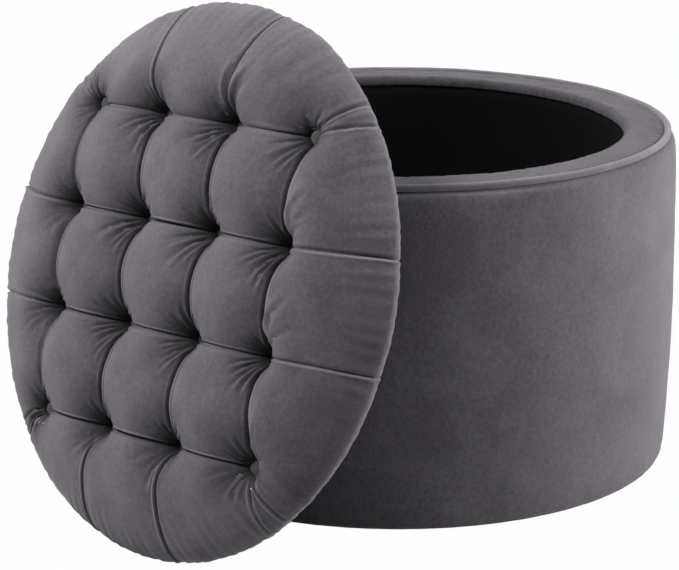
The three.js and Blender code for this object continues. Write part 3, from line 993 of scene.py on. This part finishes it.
rim_columns = len(loop)
edge_lift = lift[-rim_columns:]
edge_heading = heading[-rim_columns:]
skirt_r, skirt_w, skirt_a = [], [], []
for ring in range(1, skirt_rings + 1):
    part = ring / skirt_rings
    turn = part * math.pi / 2
    base_r = edge_radius - 0.012 * (1 - math.cos(turn))
    base_w = (edge_height - 0.5 * edge_round) * (1 - math.sin(turn))
    hold = (1 - part) ** 0.8
    half_way = math.sin(math.pi * min(1, part * 1.1))
    seam_gather = ripples(edge_heading, 52, (61, 97, 143, 191), 0.0008) * half_way
    skirt_r.append(base_r + edge_lift * hold + seam_gather)
    skirt_w.append(np.full(rim_columns, base_w))
    skirt_a.append(edge_heading)
for ring in range(1, wrap_rings + 1):
    part = ring / wrap_rings
    cut_edge = 0.0006 * np.sin(90 * edge_heading) * (part == 1)
    skirt_r.append(np.full(rim_columns, 0.281 - 0.035 * part) + cut_edge)
    skirt_w.append(np.zeros(rim_columns))
    skirt_a.append(edge_heading)
all_r = np.concatenate([top_r, *skirt_r])
all_w = np.concatenate([top_w, *skirt_w])
all_a = np.concatenate([heading, *skirt_a]) + twist
# The pad is a little fuller on its left.
fuller = np.clip(-np.cos(all_a), 0, 1) ** 2 * smoothstep(0.240, 0.290, all_r)
all_r = all_r * (1 + 0.024 * fuller)
outer_points = np.stack([all_r * np.cos(all_a), all_r * np.sin(all_a), all_w], -1)

square_size = (side_count + 1) ** 2
square_index = np.arange(square_size).reshape(side_count + 1, side_count + 1)
ring_total = crown_rings + skirt_rings + wrap_rings
ring_numbers = square_size + np.arange(ring_total * rim_columns).reshape(ring_total, -1)
ring_index = np.vstack([square_index[loop[:, 0], loop[:, 1]], ring_numbers])


def grid_faces(index):
    """Faces of a rectangular grid of point numbers."""
    a, b, c, d = index[:-1, :-1], index[1:, :-1], index[1:, 1:], index[:-1, 1:]
    return np.stack([a, b, c, d], -1).reshape(-1, 4)


def tube_faces(index):
    """Faces between closed rings of point numbers, with the next ring outside."""
    wrapped = np.hstack([index, index[:, :1]])
    a, b, c, d = wrapped[:-1, :-1], wrapped[1:, :-1], wrapped[1:, 1:], wrapped[:-1, 1:]
    return np.stack([a, b, c, d], -1).reshape(-1, 4)


outer_faces = np.vstack([grid_faces(square_index), tube_faces(ring_index)])

# The cloth's back is a coarser copy of its face, moved in by the cloth's thickness.
coarse = 4
face_mesh = bpy.data.meshes.new("lid_cover_face")
face_mesh.from_pydata([tuple(p) for p in outer_points], [], outer_faces.tolist())
normals = np.zeros(len(outer_points) * 3)
face_mesh.vertices.foreach_get("normal", normals)
normals = normals.reshape(-1, 3)
bpy.data.meshes.remove(face_mesh)
coarse_square = square_index[::coarse, ::coarse]
coarse_rings = ring_index[[0, *range(coarse - 1, ring_total, coarse), ring_total], ::coarse]


def coarse_copy(distance, first):
    """Points and faces of the coarse copy, moved in, numbered from first."""
    used = np.unique(np.concatenate([coarse_square.ravel(), coarse_rings.ravel()]))
    number = np.full(len(outer_points), -1)
    number[used] = first + np.arange(len(used))
    points = outer_points[used] - distance * normals[used]
    faces = np.vstack([grid_faces(number[coarse_square]), tube_faces(number[coarse_rings])])
    return points, faces, number


back_points, back_faces, back_number = coarse_copy(cloth, len(outer_points))
cover_faces = outer_faces.tolist() + back_faces[:, ::-1].tolist()
last_fine, last_coarse = ring_index[-1], back_number[coarse_rings[-1]]
for k in range(len(last_coarse)):
    fine = [int(last_fine[(coarse * k + step) % rim_columns]) for step in range(coarse + 1)]
    after = int(last_coarse[(k + 1) % len(last_coarse)])
    cover_faces.append([*fine[::-1], int(last_coarse[k]), after][::-1])
cover_points = [lid_place @ Vector(p) for p in np.vstack([outer_points, back_points])]
for p in cover_points:
    p.z = max(p.z, 0.0)  # pressed flat where the lid stands on the floor
lid_cover = solid_mesh("lid_velvet_cover", cover_points, cover_faces, "lid", "velvet", lid_velvet)
mark_painted_light(lid_cover, "painted_shade", painted_shade)
mark_painted_light(lid_cover, "lip", lip)
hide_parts("lid_cover")

# ---- Lid, foam ------------------------------------------------------------
# A thick round pad under the cover, glued to the board and drawn down with it.
foam_rows = coarse_rings[: 1 + (crown_rings + skirt_rings) // coarse]
used = np.unique(np.concatenate([coarse_square.ravel(), foam_rows.ravel()]))
number = np.full(len(outer_points), -1)
number[used] = np.arange(len(used))
under_cover, pad_foot, round_board, over_board = 0.0075, 0.0025, 0.2763, 0.0142
foam_points = [Vector(p) for p in outer_points[used] - under_cover * normals[used]]
for p in foam_points:
    p.z = max(p.z, pad_foot)
foam_faces = np.vstack([grid_faces(number[coarse_square]), tube_faces(number[foam_rows])]).tolist()
edge = number[foam_rows[-1]]
for r, w in ((round_board, pad_foot), (round_board, over_board)):
    first = len(foam_points)
    for k in edge:
        across, upward = foam_points[k].x, foam_points[k].y
        size = math.hypot(across, upward)
        foam_points.append(Vector((r * across / size, r * upward / size, w)))
    after = np.arange(first, first + len(edge))
    foam_faces += tube_faces(np.vstack([edge, after])).tolist()
    edge = after
foam_points.append(Vector((0, 0, over_board)))
for k in range(len(edge)):
    foam_faces.append([int(edge[k]), len(foam_points) - 1, int(edge[(k + 1) % len(edge)])])
lid_foam = solid_mesh("lid_pad", [lid_place @ p for p in foam_points], foam_faces, "lid", "foam", foam)
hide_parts("lid_foam")

# ---- Lid, covered buttons -------------------------------------------------
# Metal button shells covered in the velvet, each on a loop of twine that goes
# through the pad and the board to a small toggle underneath.
button_radius, toggle_radius, twine_radius = 0.0100, 0.0045, 0.0012
for (row, column), place_in_lid in button_places.items():
    chance = random.Random(100 * row + column)
    seat = button_seat + 0.0003
    section = [
        (0.0, 0.0004),
        (toggle_radius - 0.0008, 0.0),
        (toggle_radius, 0.0006),
        (toggle_radius, 0.0010),
        (twine_radius, 0.0016),
        (twine_radius, seat),
        (button_radius - 0.0016, seat),
        (button_radius - 0.0003, seat + 0.0010),
        (button_radius, seat + 0.0024),
        (button_radius - 0.0009, seat + 0.0034),
        (button_radius - 0.0026, seat + 0.0042),
        (0.0052, seat + 0.0048),
        (0.0026, seat + 0.0051),
        (0.0, seat + 0.0052),
    ]
    segments = 36
    lean_a, lean_b = chance.uniform(-0.08, 0.08), chance.uniform(-0.08, 0.08)
    pucker_turn = chance.uniform(0, 6)
    points, faces = [], []
    for r, w in section[1:-1]:
        for k in range(segments):
            a = 2 * math.pi * k / segments
            on_side = 0.006 < r < 0.0099 and w < seat + 0.0025
            pucker = 1 + (0.035 * math.sin(11 * a + pucker_turn) if on_side else 0)
            x, y = r * pucker * math.cos(a), r * pucker * math.sin(a)
            tip = lean_a * x + lean_b * y if w >= seat else 0
            points.append((x, y, w + tip))
    count = len(section) - 2
    points += [(0, 0, section[0][1]), (0, 0, section[-1][1])]
    for level in range(count - 1):
        for k in range(segments):
            after = (k + 1) % segments
            a, b = level * segments, (level + 1) * segments
            faces.append((a + k, a + after, b + after, b + k))
    for k in range(segments):
        after = (k + 1) % segments
        faces.append((count * segments, after, k))
        top = (count - 1) * segments
        faces.append((top + k, top + after, count * segments + 1))
    shift = Matrix.Translation((place_in_lid.x, place_in_lid.y, 0))
    placed = [lid_place @ shift @ Vector(p) for p in points]
    covered = solid_mesh(f"covered_button_{row}_{column}", placed, faces, "lid", "velvet", lid_velvet)
    # Painted shade: each covered button is darkened as if lying in its well's shade.
    mark_painted_light(covered, "painted_shade", np.full(len(placed), 0.55))
    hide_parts(f"button_{row}_{column}")

# ---- Studio ---------------------------------------------------------------
# A pale floor in a white surround, with three soft lamps: high on the left,
# low on the right, and one above.
floor_mesh = bpy.data.meshes.new("studio_floor")
reach, level = 8, -0.0004
corners = [(-reach, -reach, level), (reach, -reach, level), (reach, reach, level), (-reach, reach, level)]
floor_mesh.from_pydata(corners, [], [(0, 1, 2, 3)])
studio_floor = bpy.data.objects.new("studio_floor", floor_mesh)
bpy.context.collection.objects.link(studio_floor)
pale = bpy.data.materials.new("studio_floor")
pale.use_nodes = True
tree = pale.node_tree
tree.nodes.clear()
floor_mesh.materials.append(pale)
matt = add_node(tree, "ShaderNodeBsdfDiffuse", [("Color", (0.45, 0.45, 0.45, 1))])
white = add_node(tree, "ShaderNodeEmission", [("Color", (1, 1, 1, 1)), ("Strength", 1.0)])
seen = tree.nodes.new("ShaderNodeLightPath")
share = maths(tree, "MULTIPLY", seen.outputs["Is Camera Ray"], 0.985)
mix = add_node(tree, "ShaderNodeMixShader", [(0, share), (1, matt.outputs[0]), (2, white.outputs[0])])
add_node(tree, "ShaderNodeOutputMaterial", [("Surface", mix.outputs[0])])

world = bpy.data.worlds.new("studio")
bpy.context.scene.world = world
world.use_nodes = True
tree = world.node_tree
tree.nodes.clear()
seen = tree.nodes.new("ShaderNodeLightPath")
direct = maths(tree, "MAXIMUM", seen.outputs["Is Camera Ray"], seen.outputs["Is Glossy Ray"])
strength = add_node(tree, "ShaderNodeMapRange", [("Value", direct), ("To Min", 0.06), ("To Max", 1.0)])
surround = add_node(
    tree,
    "ShaderNodeBackground",
    [("Color", (1, 1, 1, 1)), ("Strength", strength.outputs["Result"])],
)
add_node(tree, "ShaderNodeOutputWorld", [("Surface", surround.outputs[0])])


def soft_lamp(name, place, target, size, power):
    """A square lamp that faces a point."""
    data = bpy.data.lights.new(name, "AREA")
    data.size = size
    data.energy = power
    lamp = bpy.data.objects.new(name, data)
    bpy.context.collection.objects.link(lamp)
    lamp.location = place
    lamp.rotation_euler = (Vector(place) - Vector(target)).to_track_quat("Z", "Y").to_euler()
    return lamp


soft_lamp("left", (-2.7, -1.1, 3.5), (0, 0, 0.25), 1.1, 215)
soft_lamp("right", (3.4, -0.6, 1.3), (0.1, 0.1, 0.25), 1.6, 122)
soft_lamp("top", (1.4, -0.2, 3.4), (0, 0, 0.25), 1.3, 36)

view = bpy.context.scene.view_settings
view.view_transform = "Standard"
